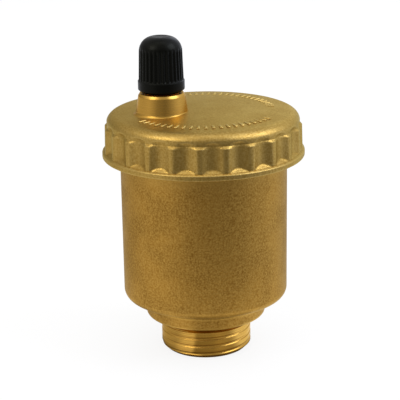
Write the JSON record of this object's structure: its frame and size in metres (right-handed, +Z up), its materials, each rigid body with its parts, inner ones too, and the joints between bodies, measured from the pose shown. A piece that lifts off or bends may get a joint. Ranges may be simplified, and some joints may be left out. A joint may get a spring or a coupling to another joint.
{
  "type": "automatic air vent",
  "caption": "Brass float-type automatic air vent with a threaded inlet stub, bowl body, fluted screwed cover, off-centre boss and ribbed black dust cap.",
  "frame": {"origin": "centre of the inlet thread's end face", "axes": "+Z up along the bowl's axis, away from the inlet; -X from the bowl's axis towards the vent boss"},
  "size_m": [0.046, 0.046, 0.074],
  "materials": {
    "forged_brass": "shot-blasted, slightly tarnished",
    "machined_brass": "turned, bright",
    "stainless": "rolled",
    "float_plastic": "moulded",
    "lever_plastic": "moulded",
    "cap_plastic": "satin black",
    "rubber": "matte"
  },
  "bodies": {
    "body": {"body": "forged_brass"},
    "cover_seal": {"cover_oring": "rubber"},
    "cover": {"cover": "forged_brass", "nozzle": "machined_brass", "nozzle_oring": "rubber", "lever_bracket": "stainless", "lever_pin": "stainless", "pin_clip": "stainless", "stem_spring": "stainless"},
    "cap_seal": {"cap_seal": "rubber"},
    "cap": {"dust_cap": "cap_plastic"},
    "float": {"float_shell": "float_plastic", "float_base": "float_plastic", "float_pin": "stainless"},
    "lever": {"lever": "lever_plastic"},
    "stem": {"valve_stem": "machined_brass", "seal_cup": "stainless", "valve_seal": "rubber", "spring_washer": "stainless", "stem_clip": "stainless"}
  },
  "joints": [
    {"name": "cover_lift", "type": "slide", "parent": "body", "child": "cover_seal", "axis": [0, 0, 1], "range_m": [0, 0.0045]},
    {"name": "cover_turn", "type": "hinge", "parent": "cover_seal", "child": "cover", "pos_m": [0, 0, 0.05378], "axis": [0, 0, 1], "range_deg": [0, 1080]},
    {"name": "cap_lift", "type": "slide", "parent": "cover", "child": "cap_seal", "axis": [0, 0, 1], "range_m": [0, 0.00476]},
    {"name": "cap_turn", "type": "hinge", "parent": "cap_seal", "child": "cap", "pos_m": [-0.0097, 0, 0.06158], "axis": [0, 0, 1], "range_deg": [0, 2160]},
    {"name": "float_rise", "type": "slide", "parent": "cover", "child": "float", "axis": [0, 0, 1], "range_m": [0, 0.004]},
    {"name": "lever_swing", "type": "hinge", "parent": "cover", "child": "lever", "pos_m": [-0.0134, 0, 0.04545], "axis": [0, -1, 0], "range_deg": [0, 16.62]},
    {"name": "stem_slide", "type": "slide", "parent": "cover", "child": "stem", "axis": [0, 0, 1], "range_m": [0, 0.00106], "deforming": ["stem_spring"]}
  ],
  "couplings": [
    {"joint": "cover_lift", "follows": "cover_turn", "m_per_rad": 0.00023873},
    {"joint": "cap_turn", "follows": "cap_lift", "rad_per_m": 7913.3},
    {"joint": "lever_swing", "follows": "float_rise", "rad_per_m": 72.522},
    {"joint": "stem_slide", "follows": "float_rise", "ratio": 0.26457}
  ]
}
